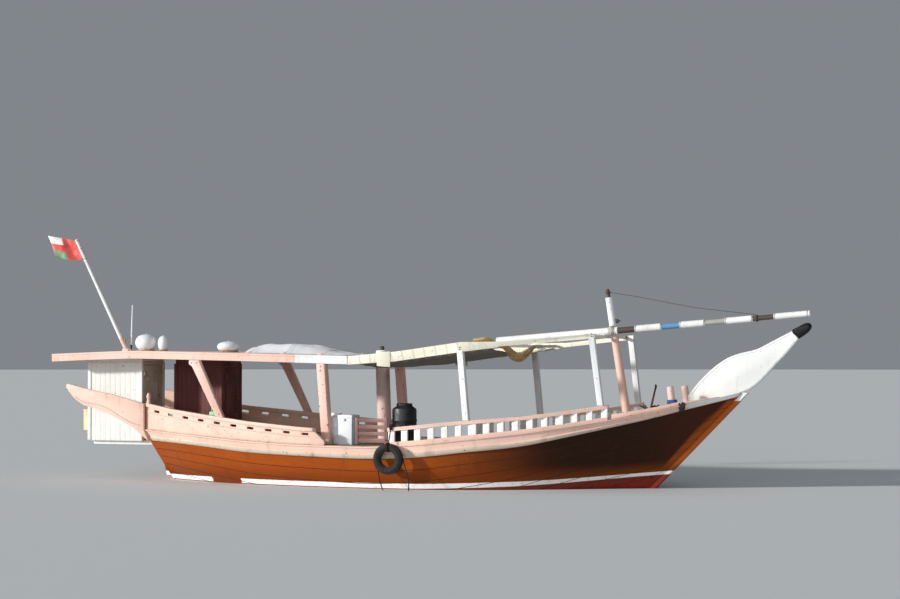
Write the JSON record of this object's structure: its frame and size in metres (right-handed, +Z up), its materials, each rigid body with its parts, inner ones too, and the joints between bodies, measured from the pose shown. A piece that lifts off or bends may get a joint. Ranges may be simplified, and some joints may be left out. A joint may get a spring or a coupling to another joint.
{
  "type": "wooden dhow boat",
  "caption": "Wooden dhow passenger boat afloat, with high raked prow head, roofed after deck, awning, heads cabin over the stern and a long lashed yard.",
  "frame": {"origin": "on the centreline at the waterline, half way along the boat", "axes": "+X to the bow, +Y to port, +Z up from the water"},
  "size_m": [17.5276, 5.4174, 6.9718],
  "materials": {
    "varnished_wood": "oiled orange-brown planks",
    "deck_wood": "bare worn boards",
    "pink_paint": "pale pink paint on wood, worn",
    "white_paint": "white paint on wood, worn",
    "cream_paint": "cream paint on boards",
    "maroon_paint": "dark red-brown paint",
    "mauve_paint": "faded paint on a bare spar",
    "dark_wood": "dark stained slats",
    "black_paint": "black paint",
    "bronze": "cast, dull",
    "rusty_iron": "rusted",
    "tyre": "worn old tyre",
    "rope": "dark wet rope",
    "canvas": "cotton canvas",
    "ochre_cloth": "faded ochre canvas",
    "tarp": "white woven sheet",
    "flag_cloth": "thin striped cloth",
    "white_plastic": "moulded, chalky",
    "navy_plastic": "moulded",
    "green_plastic": "moulded"
  },
  "bodies": {
    "boat": {"hull": "varnished_wood", "deck": "deck_wood", "wale_starboard": "pink_paint", "wale_port": "pink_paint", "keel": "varnished_wood", "stem": "varnished_wood", "sternpost": "varnished_wood", "transom": "varnished_wood", "prow_head": "white_paint", "prow_cap": "black_paint", "aft_bulwark_starboard": "pink_paint", "aft_bulwark_port": "pink_paint", "fore_rail_starboard": "white_paint", "fore_rail_port": "white_paint", "bow_bulwark_starboard": "pink_paint", "bow_bulwark_port": "pink_paint", "bitt_starboard": "pink_paint", "bitt_port": "pink_paint", "quarter_wings": "pink_paint", "taffrail": "pink_paint", "heads_cabin": "cream_paint", "wheelhouse": "maroon_paint", "helm_stand": "pink_paint", "foremast": "pink_paint", "main_mast": "mauve_paint", "yard": "white_paint", "roof": "pink_paint", "strut_starboard": "pink_paint", "strut_port": "pink_paint", "front_post_starboard": "pink_paint", "front_post_port": "pink_paint", "awning_frame_starboard": "white_paint", "awning_frame_port": "white_paint", "cross_bar_1": "white_paint", "cross_bar_2": "white_paint", "awning_cloth": "canvas", "awning_roll": "ochre_cloth", "roof_tarp": "tarp", "float_large": "white_plastic", "float_middle": "white_plastic", "float_flat": "white_plastic", "flagstaff": "white_paint", "flag": "flag_cloth", "chest": "white_plastic", "water_drum": "white_plastic", "barrel": "navy_plastic", "can": "green_plastic", "anchor": "rusty_iron", "tyre_fender": "tyre", "fender_lanyard": "rope", "fender_rope": "rope"},
    "rudder": {"rudder": "varnished_wood"},
    "propeller": {"propeller": "bronze"},
    "helm": {"helm_wheel": "varnished_wood"},
    "heads_door": {"heads_door": "cream_paint"},
    "wheelhouse_door": {"wheelhouse_door": "maroon_paint"},
    "boarding_gate": {"boarding_gate": "dark_wood"},
    "chest_lid": {"chest_lid": "white_plastic"}
  },
  "joints": [
    {"name": "rudder_turn", "type": "hinge", "parent": "boat", "child": "rudder", "pos_m": [-5.54352, 0, -1.26503], "axis": [-0.4132, 0, 0.9106], "range_deg": [-35, 35]},
    {"name": "helm_turn", "type": "hinge", "parent": "boat", "child": "helm", "pos_m": [-5.55, 0.9, 1.95], "axis": [1, 0, 0], "range_deg": [-540, 540]},
    {"name": "propeller_spin", "type": "hinge", "parent": "boat", "child": "propeller", "pos_m": [-5.9262, 0, -0.62], "axis": [1, 0, 0], "continuous": true},
    {"name": "heads_door_swing", "type": "hinge", "parent": "boat", "child": "heads_door", "pos_m": [-6.47, -1.194, 1.8], "axis": [0, 0, -1], "range_deg": [0, 100]},
    {"name": "wheelhouse_door_swing", "type": "hinge", "parent": "boat", "child": "wheelhouse_door", "pos_m": [-4.91, -0.294, 1.8], "axis": [0, 0, -1], "range_deg": [0, 100]},
    {"name": "gate_swing", "type": "hinge", "parent": "boat", "child": "boarding_gate", "pos_m": [0.02, -2.49, 1.1], "axis": [0, 0, -1], "range_deg": [0, 100]},
    {"name": "chest_lid_lift", "type": "hinge", "parent": "boat", "child": "chest_lid", "pos_m": [-1.135, -1.664, 1.4596], "axis": [-1, 0, 0], "range_deg": [0, 100]}
  ],
  "couplings": [
    {"joint": "helm_turn", "follows": "rudder_turn", "ratio": 15.4}
  ]
}
